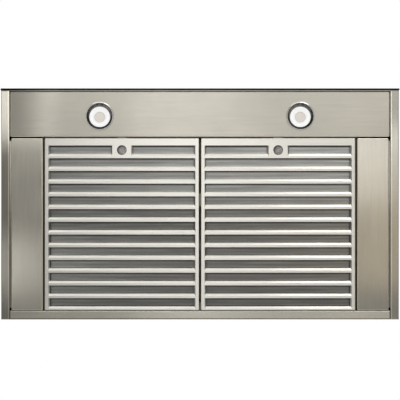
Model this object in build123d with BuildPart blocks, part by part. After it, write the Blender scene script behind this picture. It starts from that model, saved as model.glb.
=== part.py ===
from build123d import *
import os
from math import atan2, cos, radians, sin

os.makedirs("parts", exist_ok=True)

# Axes: the wall is the plane y = 0, the front of the hood faces -Y, z = 0 is the lowest edge.

# Overall size
hood_width = 912.0
hood_depth = 530.0
rim_height = 60.0
canopy_height = 250.0
top_width = 340.0
top_depth = 292.0

# Sheet stock
steel = 1.0
back_steel = 1.2
deck_steel = 1.2
bend = 2.0
seat_gap = 0.3

# Fascia
glass_thickness = 4.0
glass_overhang = 1.5
glass_edge = 0.6
front_hem = 2.4
hem_height = 12.0
touch_window_width = 190.0
touch_window_height = 24.0
touch_board_thickness = 1.6
touch_board_margin = 6.0
touch_key_count = 5
touch_key_pitch = 32.0
touch_key_radius = 6.0

# Rims and the pressed panels between them
rim_lip = 19.0
lip_upstand = 16.0
panel_level = 2.0
panel_corner = 2.6
panel_hook = 6.0
light_panel_gap = 1.8
light_panel_front = 7.0
light_panel_depth = 104.1
side_panel_width = 72.0
side_panel_gap = 4.0
side_panel_hook = 8.0
side_panel_end = 20.8
panel_row_gap = 3.2

# Rear rail
rail_depth = 20.0
bead_radius = 2.5
rail_flange = 24.0
rail_notch_gap = 1.3

# Filters
filter_steel = 0.8
filter_gap = 4.4
filter_side_gap = 4.3
filter_front_gap = 3.0
filter_height = 16.0
front_border = 16.8
side_border = 8.5
rear_border = 4.6
slot_spacing = 29.2
throat_width = 16.8
throat_rise = 4.0
front_flank = 2.0
rear_flank = 5.0
end_flank = 3.0
slot_round = 0.8
hook_width = 30.0
hook_reach = 110.0
hook_gap = 0.3
hook_start = 20.0
hook_sweep = 160.0

# Baffle channels above the slots
baffle_width = 24.0
baffle_bottom = 9.0
baffle_end_gap = 0.4
frame_lip = 10.0
frame_gap = 0.15

# Filter latch
tab_width = 44.0
finger_hole = 22.5
finger_hole_offset = 0.1
latch_width = 32.0
latch_cover = 0.3
latch_thickness = 1.2
latch_travel = 6.0
latch_front_gap = 3.0
latch_gap = 0.3
latch_corner = 2.0
guide_depth = 9.0
guide_foot = 3.6
spring_width = 20.0
spring_thickness = 0.5
spring_bend = 0.8
riser_gap = 2.4
riser_lean = 1.0
nose_level = 11.0
nose_reach = 2.5
nose_window_width = 26.0
nose_window_height = 5.0
upstand_width = 10.0
upstand_drop = 2.0

# Lamps
lamp_spacing = 461.0
lamp_setback = 63.5
trim_radius = 32.6
mouth_radius = 30.5
trim_lip = 1.4
trim_wall = 1.0
trim_height = 14.0
lens_radius = 25.6
lens_view_radius = 24.75
lens_thickness = 2.5
lens_edge = 0.5
lens_cap_radius = 12.3
lens_ring_radius = 19.5
lens_groove = 0.8
lens_groove_depth = 0.5
lens_depth = 5.0
lamp_clearance = 0.2
bulb_height = 34.0
bulb_base_radius = 9.0
bulb_cap_radius = 12.4
bulb_cap_height = 3.0
bulb_face_recess = 3.0
bulb_lip = 2.0
bulb_lip_height = 1.5
bulb_shoulder_inset = 9.7
bulb_waist_inset = 7.2
bulb_waist_height = 15.3
socket_height = 16.0
socket_grip = 8.0
socket_width = 19.8
socket_depth = 13.5
socket_corner = 3.0
socket_bevel = 1.0
clip_width = 10.0
clip_steel = 0.8
clip_bend = 1.0
clip_gap = 0.05
clip_shank = 5.6
clip_knee_reach = 9.0
clip_knee_rise = 2.8
clip_foot_reach = 12.0
clip_reach = 17.0

# Wall fixing
wall_hole = 8.5
wall_hole_spacing_x = 400.0
wall_hole_spacing_z = 120.0
wall_hole_height = 110.0

# Air box over the filters
wall_foot = 4.0
front_wall_foot = 6.0

# Blower box on the deck
box_width = 300.0
box_depth = 264.0
box_height = 310.0
box_from_wall = 8.0
box_flange = 12.0

# Blower
impeller_radius = 85.0
impeller_width = 140.0
impeller_ring = 4.0
impeller_disc = 2.0
impeller_hub_radius = 14.0
impeller_hub_length = 14.0
blade_count = 30
blade_depth = 16.0
blade_thickness = 0.9
blade_seat = 0.5
disc_seat = 4.0
blade_middle = 6.7
blade_camber = 1.2
blade_lean = 6.5
scroll_step = 10.0
scroll_start_radius = 98.0
scroll_width = 152.0
scroll_steel = 1.0
tongue_angle = 100.0
blower_from_wall = 140.0
blower_lift = 128.0
outlet_rise = 112.0
outlet_corner = 12.0
outlet_sides = 8
inlet_radius = 66.0
inlet_lip = 5.0

# Motor
motor_radius = 42.0
motor_length = 96.0
motor_gap = 10.0
motor_bevel = 4.0
motor_bore_gap = 2.0
shaft_radius = 4.0
shaft_gap = 0.03
shaft_overhang = 6.0
shaft_bevel = 0.6
shaft_end_gap = 0.5
bearing_radius = 11.0
bearing_width = 7.0
nut_radius = 9.0
nut_height = 9.0
nut_dome = 1.5
nut_bevel = 1.0
clamp_wall = 3.0
clamp_width = 12.0
arm_width = 12.0
arm_thickness = 2.0
arm_standoff = 5.0
arm_foot = 8.0
arm_overlap = 12.0
arm_count = 3

# Duct collar and damper
collar_radius = 74.5
collar_wall = 1.5
collar_height = 50.0
collar_flange = 14.0
collar_from_wall = 175.0
collar_screw_count = 4
damper_level = 18.0
flap_radius = 71.5
flap_thickness = 1.0
flap_setback = 2.2
flap_end_notch = 12.0
stop_thickness = 1.5
stop_overlap = 2.5
stop_start = 59.6
rod_radius = 1.5
rod_gap = 0.08
rod_end_gap = 0.6
knuckle_radius = 2.9
knuckle_length = 16.0
knuckle_end_gap = 1.0
knuckle_notch_gap = 1.6
front_knuckle = 50.0
rear_knuckle = 30.0

# Chimney
chimney_width = 320.0
chimney_depth = 280.0
lower_chimney_height = 400.0
upper_chimney_height = 420.0
chimney_gap = 1.0
chimney_return = 18.0
bracket_height = 28.0
bracket_drop = 2.0
bracket_steel = 1.5
bracket_gap = 0.1
bracket_hole = 6.5
bracket_hole_spacing = 200.0
ear_depth = 34.0
ear_step = 2.0
ear_slope = 4.0

# Electrical pieces
power_box_length = 160.0
power_box_depth = 62.0
power_box_height = 40.0
power_box_corner = 4.0
lid_skirt = 8.0
lid_gap = 0.2
lid_round = 1.2
junction_box_width = 62.0
junction_box_length = 90.0
junction_box_height = 42.0
junction_box_from_wall = 14.0
junction_box_corner = 2.5
cover_plug = 3.0
box_wall = 1.5
gland_bore = 12.0
gland_body = 20.0
gland_gap = 0.1
gland_flange = 27.0
gland_flange_thickness = 2.5
capacitor_radius = 17.5
capacitor_length = 70.0
capacitor_gap = 0.2
capacitor_bevel = 1.5

# Screws
screw_radius = 2.0
screw_head_radius = 4.0
screw_head_height = 2.4
screw_head_bevel = 0.8
screw_gap = 0.2
screw_end = 3.0
box_screw_spacing = 130.0

# Places that several pieces share
side_x = hood_width / 2
front_y = glass_thickness - hood_depth
deck_z = canopy_height + deck_steel
slope_rise = canopy_height - rim_height
front_run = -front_y - top_depth
side_run = side_x - top_width / 2
front_skin = steel / sin(atan2(slope_rise, front_run))
side_skin = steel / sin(atan2(slope_rise, side_run))
lip_x = side_x - rim_lip
panel_floor = panel_level + steel
light_panel_front_y = light_panel_front - hood_depth
light_panel_rear_y = light_panel_front_y + light_panel_depth
light_panel_x = lip_x - light_panel_gap
side_panel_outer_x = lip_x - side_panel_gap
side_panel_inner_x = side_panel_outer_x - side_panel_width
side_panel_front_y = light_panel_rear_y + panel_row_gap
filter_front_y = light_panel_rear_y + filter_front_gap
filter_rear_y = -rail_depth - hook_gap
filter_depth = filter_rear_y - filter_front_y
filter_centre_y = (filter_front_y + filter_rear_y) / 2
filter_width = side_panel_inner_x - filter_side_gap - filter_gap / 2
filter_x = filter_gap / 2 + filter_width / 2
filter_top = panel_level + filter_height
filter_floor = panel_level + filter_steel
hinge_y = bead_radius - rail_depth
hinge_z = panel_level + bead_radius
slot_width = front_flank + throat_width + rear_flank
first_throat_y = filter_front_y + front_border + front_flank + throat_width / 2
slot_length = filter_width - 2 * side_border
slot_run = filter_depth - front_border - rear_border - slot_width
slot_count = round(slot_run / slot_spacing) + 1
slot_pitch = slot_run / (slot_count - 1)
front_flank_skin = filter_steel / sin(atan2(throat_rise, front_flank))
rear_flank_skin = filter_steel / sin(atan2(throat_rise, rear_flank))
end_flank_skin = filter_steel / sin(atan2(throat_rise, end_flank))
lamp_from_wall = hood_depth - lamp_setback
lens_level = panel_level + lens_depth
tube_radius = lens_radius + lamp_clearance + trim_wall
mouth_level = panel_level - trim_lip
funnel_run = mouth_radius - lens_view_radius
funnel_rise = lens_level - mouth_level
funnel_skin = trim_wall / sin(atan2(funnel_rise, funnel_run))
funnel_root = mouth_radius + funnel_skin - funnel_run * trim_lip / funnel_rise
tube_foot = mouth_level + (mouth_radius + funnel_skin - tube_radius) * funnel_rise / funnel_run
box_centre_y = -box_from_wall - box_depth / 2
box_top_z = deck_z + box_height
deck_hole_width = box_width - 2 * box_flange
deck_hole_depth = box_depth - 2 * box_flange
blower_y = -blower_from_wall
blower_z = deck_z + blower_lift
outlet_z = blower_z + outlet_rise
collar_inner = collar_radius - collar_wall
collar_z = box_top_z + steel
axis_z = collar_z + damper_level
screw_hole = screw_radius + screw_gap


def save(piece, label):
    piece.part.label = label
    export_step(piece.part, f"parts/{label}.step")


def save_group(pieces, label):
    """Writes pieces that touch as one group, in which each solid stays separate."""
    group = Compound([solid for piece in pieces for solid in piece.part.solids()])
    group.label = label
    export_step(group, f"parts/{label}.step")


def tray(x_min, x_max, y_min, y_max, level, height, thickness):
    """A pressed tray, open at the top, with turned-up edges and rounded bends."""
    with BuildPart(mode=Mode.PRIVATE) as body:
        with BuildSketch(Plane.XY.offset(level)):
            with Locations(((x_min + x_max) / 2, (y_min + y_max) / 2)):
                RectangleRounded(x_max - x_min, y_max - y_min, panel_corner)
        extrude(amount=height)
        fillet(body.faces().sort_by(Axis.Z)[0].edges(), bend)
        offset(amount=-thickness, openings=body.faces().sort_by(Axis.Z)[-1])
    return body.part


def folded(plane, points, thickness, radius, length, side=Side.LEFT):
    """A folded strip: the points are one skin of its section, and it runs along the plane's normal."""
    with BuildPart(mode=Mode.PRIVATE) as strip:
        with BuildSketch(plane):
            with BuildLine():
                if radius:
                    FilletPolyline(*points, radius=radius)
                else:
                    Polyline(*points)
                offset(amount=thickness, side=side, kind=Kind.ARC if radius else Kind.INTERSECTION)
            make_face()
        extrude(amount=length)
    return strip.part


def frustum(low, high):
    """A block between two level rectangles, each given as half width, front y, back y and z."""
    with BuildPart(mode=Mode.PRIVATE) as block:
        for half_width, front, back, z in (low, high):
            with BuildSketch(Plane.XY.offset(z)):
                with Locations((0, (front + back) / 2)):
                    Rectangle(2 * half_width, back - front)
        loft()
    return block.part


def screw(head_plane, grip):
    """A pan-head screw: its head stands on the plane, and its shank runs back through what it grips."""
    with BuildPart(mode=Mode.PRIVATE) as piece:
        with BuildSketch(head_plane):
            Circle(screw_head_radius)
        extrude(amount=screw_head_height)
        crown = piece.faces().sort_by(Axis(head_plane.origin, head_plane.z_dir))[-1]
        chamfer(crown.edges(), screw_head_bevel)
        with BuildSketch(head_plane):
            Circle(screw_radius)
        extrude(amount=-grip - screw_end)
    return piece.part


def slope_side_x(z):
    """The inner half width of the canopy's sloped sides at a height."""
    return side_x - side_skin - side_run * (z - rim_height) / slope_rise


def slope_front_z(y):
    """The height of the canopy's sloped front sheet, on its inner side, at a depth."""
    return rim_height + slope_rise * (y - front_y - front_skin) / front_run


# Canopy slopes, one hollow pyramid that is cut into three sheets along its corners
slope_foot = (side_x, front_y, -back_steel, rim_height)
slope_head = (top_width / 2, -top_depth, -back_steel, canopy_height)
hollow_foot = (side_x - side_skin, front_y + front_skin, back_steel, rim_height)
hollow_head = (top_width / 2 - side_skin, front_skin - top_depth, back_steel, canopy_height)
with BuildPart() as slopes:
    add(frustum(slope_foot, slope_head))
    add(frustum(hollow_foot, hollow_head), mode=Mode.SUBTRACT)


def corner_plane(sign):
    """The mitre through a front corner of the canopy, with its normal towards the front sheet."""
    foot = Vector(sign * side_x, front_y, rim_height)
    head = Vector(sign * top_width / 2, -top_depth, canopy_height)
    inner = Vector(sign * (side_x - side_skin), front_y + front_skin, rim_height)
    normal = (head - foot).cross(inner - foot)
    if normal.Y > 0:
        normal = normal * -1
    return Plane(origin=foot, x_dir=head - foot, z_dir=normal)


# Canopy front sheet, with the folded hem behind the glass and a return at each end
with BuildPart() as canopy_front:
    add(slopes.part)
    for sign in (-1, 1):
        split(bisect_by=corner_plane(sign), keep=Keep.TOP)
    with BuildSketch(Plane.XZ.offset(-front_y)):
        with Locations((0, rim_height / 2)):
            Rectangle(hood_width, rim_height)
            Rectangle(touch_window_width, touch_window_height, mode=Mode.SUBTRACT)
    extrude(amount=-steel)
    with BuildSketch(Plane.XZ.offset(-front_y - steel)):
        with Locations((0, hem_height / 2)):
            Rectangle(hood_width, hem_height)
        with Locations((0, rim_height / 2)):
            with GridLocations(hood_width - steel, 0, 2, 1):
                Rectangle(steel, rim_height)
    extrude(amount=steel - front_hem)
save(canopy_front, "canopy_front")

# Canopy side sheets, each with its rim, its inward lip and the lip's upstand
rim_length = -front_y - front_hem - back_steel
for sign, side in ((-1, "left"), (1, "right")):
    rim_line = [
        (sign * side_x, rim_height),
        (sign * side_x, 0),
        (sign * lip_x, 0),
        (sign * lip_x, lip_upstand),
    ]
    inward = Side.RIGHT if sign > 0 else Side.LEFT
    with BuildPart() as canopy_side:
        add(slopes.part)
        split(bisect_by=corner_plane(sign), keep=Keep.BOTTOM)
        split(bisect_by=Plane.YZ, keep=Keep.TOP if sign > 0 else Keep.BOTTOM)
        add(folded(Plane.XZ.offset(back_steel), rim_line, steel, bend, rim_length, inward))
    save(canopy_side, f"canopy_{side}")

# Canopy back sheet with the wall screw holes and the supply cable hole
junction_x = side_panel_inner_x + junction_box_width / 2
junction_z = filter_top + seat_gap + junction_box_height / 2
with BuildPart() as canopy_back:
    with BuildSketch(Plane.XZ):
        with BuildLine():
            Polyline(
                (-side_x, 0),
                (side_x, 0),
                (side_x, rim_height),
                (top_width / 2, canopy_height),
                (-top_width / 2, canopy_height),
                (-side_x, rim_height),
                close=True,
            )
        make_face()
        with Locations((0, wall_hole_height)):
            with GridLocations(wall_hole_spacing_x, wall_hole_spacing_z, 2, 2):
                Circle(wall_hole / 2, mode=Mode.SUBTRACT)
        with Locations((junction_x, junction_z)):
            Circle(gland_body / 2, mode=Mode.SUBTRACT)
    extrude(amount=back_steel)
save(canopy_back, "canopy_back")

# Deck that closes the canopy and carries the blower box and the chimney
box_screw_x = box_width - box_flange
with BuildPart() as canopy_top:
    with BuildSketch(Plane.XY.offset(canopy_height)):
        with Locations((0, -top_depth / 2)):
            Rectangle(top_width, top_depth)
        with Locations((0, box_centre_y)):
            Rectangle(deck_hole_width, deck_hole_depth, mode=Mode.SUBTRACT)
            with GridLocations(box_screw_x, box_screw_spacing, 2, 2):
                Circle(screw_hole, mode=Mode.SUBTRACT)
    extrude(amount=deck_steel)
save(canopy_top, "canopy_top")

# Black glass fascia
with BuildPart() as fascia_glass:
    with BuildSketch(Plane.XZ.offset(-front_y)):
        with Locations((0, rim_height / 2)):
            Rectangle(hood_width + 2 * glass_overhang, rim_height)
    extrude(amount=glass_thickness)
    chamfer(fascia_glass.faces().sort_by(Axis.Y)[0].edges(), glass_edge)
save(fascia_glass, "fascia_glass")

# Touch control board, whose keys reach the glass through the window in the front sheet
touch_board_width = touch_window_width + 2 * touch_board_margin
touch_board_height = touch_window_height + 2 * touch_board_margin
with BuildPart() as touch_board:
    with BuildSketch(Plane.XZ.offset(-front_y - steel)):
        with Locations((0, rim_height / 2)):
            Rectangle(touch_board_width, touch_board_height)
    extrude(amount=-touch_board_thickness)
    with BuildSketch(Plane.XZ.offset(-front_y)):
        with Locations((0, rim_height / 2)):
            with GridLocations(touch_key_pitch, 0, touch_key_count, 1):
                Circle(touch_key_radius)
    extrude(amount=-steel)
save(touch_board, "touch_board")

# Lamp panel across the front, hooked over both rims
panel_height = lip_upstand - panel_level
light_panel_y = (light_panel_front_y + light_panel_rear_y) / 2
light_tray = tray(
    -light_panel_x, light_panel_x, light_panel_front_y, light_panel_rear_y, panel_level, panel_height, steel
)
with BuildPart() as light_panel:
    add(light_tray)
    with BuildSketch(Plane.XY.offset(lip_upstand)):
        with Locations((0, light_panel_y)):
            with GridLocations(2 * (light_panel_x - steel) + panel_hook, 0, 2, 1):
                Rectangle(panel_hook, light_panel_depth - 4 * panel_corner)
    extrude(amount=steel)
    with BuildSketch(Plane.XY.offset(panel_level)):
        with Locations((0, -lamp_from_wall)):
            with GridLocations(lamp_spacing, 0, 2, 1):
                Circle(funnel_root + lamp_clearance)
    extrude(amount=steel, mode=Mode.SUBTRACT)
    with BuildSketch(Plane.XZ.offset(-light_panel_rear_y)):
        with Locations((-filter_x, nose_level), (filter_x, nose_level)):
            Rectangle(nose_window_width, nose_window_height)
    extrude(amount=steel, mode=Mode.SUBTRACT)
save(light_panel, "light_panel")

# Plain side panels between the rims and the filters
side_panel_depth = -side_panel_end - side_panel_front_y
for sign, side in ((-1, "left"), (1, "right")):
    low, high = sorted((sign * side_panel_inner_x, sign * side_panel_outer_x))
    with BuildPart() as side_panel:
        add(tray(low, high, side_panel_front_y, -side_panel_end, panel_level, panel_height, steel))
        with BuildSketch(Plane.XY.offset(lip_upstand)):
            hook_x = sign * (side_panel_outer_x - steel + side_panel_hook / 2)
            with Locations((hook_x, side_panel_front_y + side_panel_depth / 2)):
                Rectangle(side_panel_hook, side_panel_depth - 4 * panel_corner)
        extrude(amount=steel)
    save(side_panel, f"side_panel_{side}")

# Rear rail: a strip with a rolled front bead that carries the filters, and a flange to the back sheet
rail_width = 2 * light_panel_x
rail_line = [
    (hinge_y, panel_level),
    (-back_steel, panel_level),
    (-back_steel, rail_flange),
]
with BuildPart() as rear_rail:
    add(folded(Plane.YZ.offset(-light_panel_x), rail_line, steel, bend, rail_width, Side.LEFT))
    with BuildSketch(Plane.YZ.offset(-light_panel_x)):
        with Locations((hinge_y, hinge_z)):
            Circle(bead_radius)
    extrude(amount=rail_width)
save(rear_rail, "rear_rail")

# Side walls of the air box, notched over the rear rail
side_wall_top = rim_height + slope_rise * (side_x - side_skin - side_panel_inner_x) / side_run - seat_gap
side_wall_depth = -back_steel - light_panel_rear_y - steel
with BuildPart() as plenum_side_walls:
    for sign in (-1, 1):
        with BuildSketch(Plane.YZ.offset(sign * side_panel_inner_x)):
            with Locations((-back_steel - side_wall_depth / 2, (wall_foot + side_wall_top) / 2)):
                Rectangle(side_wall_depth, side_wall_top - wall_foot)
            with Locations((-back_steel - rail_depth / 2, rail_flange / 2)):
                notch_height = rail_flange + 2 * rail_notch_gap
                Rectangle(rail_depth + 2 * rail_notch_gap, notch_height, mode=Mode.SUBTRACT)
        extrude(amount=-sign * steel)
save(plenum_side_walls, "plenum_side_walls")

# Front wall of the air box, behind the lamps
front_wall_top = slope_front_z(light_panel_rear_y) - seat_gap
front_wall_top_x = slope_side_x(front_wall_top) - seat_gap
with BuildPart() as plenum_front_wall:
    with BuildSketch(Plane.XZ.offset(-light_panel_rear_y)):
        with BuildLine():
            Polyline(
                (-side_panel_inner_x, front_wall_foot),
                (side_panel_inner_x, front_wall_foot),
                (side_panel_inner_x, side_wall_top),
                (front_wall_top_x, front_wall_top),
                (-front_wall_top_x, front_wall_top),
                (-side_panel_inner_x, side_wall_top),
                close=True,
            )
        make_face()
        with Locations((-filter_x, nose_level), (filter_x, nose_level)):
            Rectangle(nose_window_width, nose_window_height, mode=Mode.SUBTRACT)
    extrude(amount=-steel)
save(plenum_front_wall, "plenum_front_wall")

# Lamps, each with its trim ring, lens, reflector bulb and socket
lamp_plane = Plane.XZ.offset(lamp_from_wall)
cup_level = lens_level + lens_thickness
cup_top = cup_level + bulb_height
for sign, side in ((-1, "left"), (1, "right")):
    lamp_x = sign * lamp_spacing / 2
    lamp_axis = Axis((lamp_x, -lamp_from_wall, 0), (0, 0, 1))

    with BuildPart() as trim:
        with BuildSketch(lamp_plane):
            with BuildLine():
                Polyline(
                    (lamp_x + trim_radius, panel_level),
                    (lamp_x + trim_radius, panel_level - trim_lip / 3),
                    (lamp_x + trim_radius - trim_lip, mouth_level),
                    (lamp_x + mouth_radius, mouth_level),
                    (lamp_x + lens_view_radius, lens_level),
                    (lamp_x + lens_radius + lamp_clearance, lens_level),
                    (lamp_x + lens_radius + lamp_clearance, panel_level + trim_height),
                    (lamp_x + tube_radius, panel_level + trim_height),
                    (lamp_x + tube_radius, tube_foot),
                    (lamp_x + funnel_root, panel_level),
                    close=True,
                )
            make_face()
        revolve(axis=lamp_axis)
    save(trim, f"lamp_{side}_trim")

    with BuildPart() as lens:
        with BuildSketch(Plane.XY.offset(lens_level)):
            with Locations((lamp_x, -lamp_from_wall)):
                Circle(lens_radius)
        extrude(amount=lens_thickness)
        chamfer(lens.edges(), lens_edge)
        for radius in (lens_cap_radius, lens_ring_radius):
            with BuildSketch(Plane.XY.offset(lens_level)):
                with Locations((lamp_x, -lamp_from_wall)):
                    Circle(radius + lens_groove / 2)
                    Circle(radius - lens_groove / 2, mode=Mode.SUBTRACT)
            extrude(amount=lens_groove_depth, mode=Mode.SUBTRACT)
    save(lens, f"lamp_{side}_lens")

    with BuildPart() as bulb:
        with BuildSketch(lamp_plane):
            with BuildLine():
                cup_edge = (lamp_x + lens_radius - lamp_clearance, cup_level)
                cup_waist = (lamp_x + lens_radius - bulb_waist_inset, cup_level + bulb_waist_height)
                base_edge = (lamp_x + bulb_base_radius, cup_top - socket_grip)
                face_level = cup_level + bulb_face_recess
                Polyline(
                    cup_edge,
                    cup_waist,
                    base_edge,
                    (lamp_x + bulb_base_radius, cup_top),
                    (lamp_x, cup_top),
                    (lamp_x, face_level),
                    (lamp_x + bulb_cap_radius, face_level),
                    (lamp_x + bulb_cap_radius, face_level + bulb_cap_height),
                    (lamp_x + lens_radius - bulb_shoulder_inset, face_level + bulb_cap_height),
                    (lamp_x + lens_radius - bulb_lip, cup_level + bulb_lip_height),
                    (lamp_x + lens_radius - bulb_lip, cup_level),
                    close=True,
                )
            make_face()
        revolve(axis=lamp_axis)
    save(bulb, f"lamp_{side}_bulb")

    with BuildPart() as socket:
        with BuildSketch(Plane.XY.offset(cup_top)):
            with Locations((lamp_x, -lamp_from_wall)):
                RectangleRounded(socket_width, socket_depth, socket_corner)
        extrude(amount=socket_height)
        chamfer(socket.faces().sort_by(Axis.Z)[-1].edges(), socket_bevel)
    save(socket, f"lamp_{side}_socket")

# Spring clips that hold the trim rings against the lamp panel, two a lamp
clip_line = [
    (0, panel_level + trim_height),
    (0, panel_level + trim_height - clip_shank),
    (clip_knee_reach, panel_floor + clip_knee_rise),
    (clip_foot_reach, panel_floor),
    (clip_reach, panel_floor + steel),
]
with BuildPart() as lamp_clips:
    for lamp_x in (-lamp_spacing / 2, lamp_spacing / 2):
        for turn, outward in ((-1, Side.RIGHT), (1, Side.LEFT)):
            root_x = lamp_x + turn * (tube_radius + clip_gap)
            clip_points = [(root_x + turn * reach, level) for reach, level in clip_line]
            clip_plane = Plane.XZ.offset(lamp_from_wall + clip_width / 2)
            add(folded(clip_plane, clip_points, clip_steel, clip_bend, -clip_width, outward))
save(lamp_clips, "lamp_clips")

# Baffle filters
row_y = [first_throat_y + row * slot_pitch for row in range(slot_count)]
short_slot = (slot_length - tab_width) / 2
short_x = tab_width / 2 + short_slot / 2
hook_inner = bead_radius + hook_gap
frame_inset = filter_steel + frame_gap
frame_corner = panel_corner - frame_inset
frame_width = filter_width - 2 * frame_inset
frame_depth = filter_depth - 2 * frame_inset
baffle_top = filter_top - filter_steel
baffle_length = frame_width - 2 * (filter_steel + baffle_end_gap)
latch_front_y = filter_front_y + latch_front_gap
latch_rear_y = row_y[0] + finger_hole_offset + finger_hole / 2 + latch_cover
latch_floor = filter_floor + latch_gap
upstand_rear_y = row_y[0] - baffle_width / 2 - latch_gap - latch_travel
guide_y = row_y[0] - guide_depth / 2
guide_half = latch_width / 2 + latch_gap + filter_steel
guide_crown = latch_floor + latch_thickness + latch_gap
leaf_level = guide_crown + filter_steel
riser_y = upstand_rear_y + riser_gap


def funnel(length, front_grow, rear_grow, end_grow):
    """A slot's funnel from its mouth up to its throat, grown on each side by the run of its skin."""
    reach = length + 2 * end_grow
    width = slot_width + front_grow + rear_grow
    shift = (rear_flank + rear_grow - front_flank - front_grow) / 2
    throat = (end_flank, rear_flank, reach - end_flank, width - front_flank)
    seat = (Align.CENTER, Align.MIN, Align.CENTER)
    with BuildPart(mode=Mode.PRIVATE) as block:
        with Locations((0, shift, panel_level)):
            Wedge(reach, throat_rise, width, *throat, rotation=(90, 0, 0), align=seat)
    return block.part


for sign, side in ((-1, "left"), (1, "right")):
    centre_x = sign * filter_x
    low_x = centre_x - filter_width / 2
    high_x = centre_x + filter_width / 2
    slots = [(centre_x - short_x, row_y[0], short_slot), (centre_x + short_x, row_y[0], short_slot)]
    slots += [(centre_x, y, slot_length) for y in row_y[1:]]

    # Face: one pressed sheet with funnel-edged slots, a finger tab and rear hooks
    with BuildPart() as face:
        add(tray(low_x, high_x, filter_front_y, filter_rear_y, panel_level, filter_height, filter_steel))
        for x, y, length in slots:
            with Locations((x, y, 0)):
                add(funnel(length, front_flank_skin, rear_flank_skin, end_flank_skin))
        for x, y, length in slots:
            with Locations((x, y, 0)):
                add(funnel(length, 0, 0, 0), mode=Mode.SUBTRACT)
        mouths = face.faces().filter_by(Plane.XY).group_by(Axis.Z)[0].sort_by(SortBy.AREA)[-1]
        fillet(mouths.inner_wires().edges(), slot_round)
        with BuildSketch(Plane.XY.offset(panel_level)):
            with Locations((centre_x, row_y[0] + finger_hole_offset)):
                Circle(finger_hole / 2)
        extrude(amount=filter_steel, mode=Mode.SUBTRACT)
        with BuildSketch(Plane.XZ.offset(-filter_front_y)):
            with Locations((centre_x, nose_level)):
                Rectangle(nose_window_width, nose_window_height)
        extrude(amount=-filter_steel, mode=Mode.SUBTRACT)
        for hook_x in (centre_x - hook_reach, centre_x + hook_reach):
            with BuildSketch(Plane.YZ.offset(hook_x - hook_width / 2)):
                with BuildLine():
                    inner = CenterArc((hinge_y, hinge_z), hook_inner, hook_start, hook_sweep)
                    outer = CenterArc((hinge_y, hinge_z), hook_inner + filter_steel, hook_start, hook_sweep)
                    Line(inner @ 0, outer @ 0)
                    Line(inner @ 1, outer @ 1)
                make_face()
            extrude(amount=hook_width)
    save(face, f"filter_{side}_face")

    # Frame: an inverted ring inside the face's edges whose lip holds the baffles
    with BuildPart() as frame:
        with BuildSketch(Plane.XY.offset(filter_floor + bend)):
            with Locations((centre_x, filter_centre_y)):
                RectangleRounded(frame_width, frame_depth, frame_corner)
                Rectangle(frame_width - 2 * filter_steel, frame_depth - 2 * filter_steel, mode=Mode.SUBTRACT)
        extrude(amount=filter_top - filter_floor - bend)
        with BuildSketch(Plane.XY.offset(baffle_top)):
            with Locations((centre_x, filter_centre_y)):
                RectangleRounded(frame_width, frame_depth, frame_corner)
                Rectangle(frame_width - 2 * frame_lip, frame_depth - 2 * frame_lip, mode=Mode.SUBTRACT)
        extrude(amount=filter_steel)
        with BuildSketch(Plane.XZ.offset(-filter_front_y - frame_inset)):
            with Locations((centre_x, nose_level)):
                Rectangle(nose_window_width, nose_window_height)
        extrude(amount=-filter_steel, mode=Mode.SUBTRACT)
    save(frame, f"filter_{side}_frame")

    # Baffles: one inverted channel over each slot
    with BuildPart() as baffles:
        with BuildSketch(Plane.YZ.offset(centre_x - baffle_length / 2)):
            for y in row_y:
                with Locations((y, (baffle_bottom + baffle_top) / 2)):
                    Rectangle(baffle_width, baffle_top - baffle_bottom)
                with Locations((y, (baffle_bottom + baffle_top - filter_steel) / 2)):
                    channel_height = baffle_top - baffle_bottom - filter_steel
                    Rectangle(baffle_width - 2 * filter_steel, channel_height, mode=Mode.SUBTRACT)
        extrude(amount=baffle_length)
        fillet(baffles.edges().filter_by(Axis.X).group_by(Axis.Z)[-1], filter_steel)
    save(baffles, f"filter_{side}_baffles")

    # Latch: the plate behind the finger hole, pushed towards the wall to free the filter
    with BuildPart() as latch:
        with BuildSketch(Plane.XY.offset(latch_floor)):
            with Locations((centre_x, (latch_front_y + latch_rear_y) / 2)):
                RectangleRounded(latch_width, latch_rear_y - latch_front_y, latch_corner)
        extrude(amount=latch_thickness)
        with BuildSketch(Plane.XY.offset(latch_floor)):
            with Locations((centre_x, upstand_rear_y - latch_thickness / 2)):
                Rectangle(upstand_width, latch_thickness)
        extrude(amount=nose_level - upstand_drop - latch_floor)
    save(latch, f"filter_{side}_latch")

    # Guide: the strap that keeps the latch plate on the face
    guide_line = [
        (centre_x - guide_half - guide_foot, filter_floor + filter_steel),
        (centre_x - guide_half, filter_floor + filter_steel),
        (centre_x - guide_half, leaf_level),
        (centre_x + guide_half, leaf_level),
        (centre_x + guide_half, filter_floor + filter_steel),
        (centre_x + guide_half + guide_foot, filter_floor + filter_steel),
    ]
    with BuildPart() as guide:
        add(folded(Plane.XZ.offset(-guide_y), guide_line, filter_steel, 0, -guide_depth, Side.RIGHT))
    save(guide, f"filter_{side}_guide")

    # Spring: the leaf whose nose holds the filter's front edge up in the lamp panel's window
    leaf_line = [
        (guide_y + guide_depth, leaf_level),
        (riser_y, leaf_level),
        (riser_y - riser_lean, nose_level),
        (light_panel_rear_y - nose_reach, nose_level),
    ]
    leaf_plane = Plane.YZ.offset(centre_x - spring_width / 2)
    with BuildPart() as spring:
        add(folded(leaf_plane, leaf_line, spring_thickness, spring_bend, spring_width, Side.RIGHT))
    save(spring, f"filter_{side}_spring")

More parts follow.
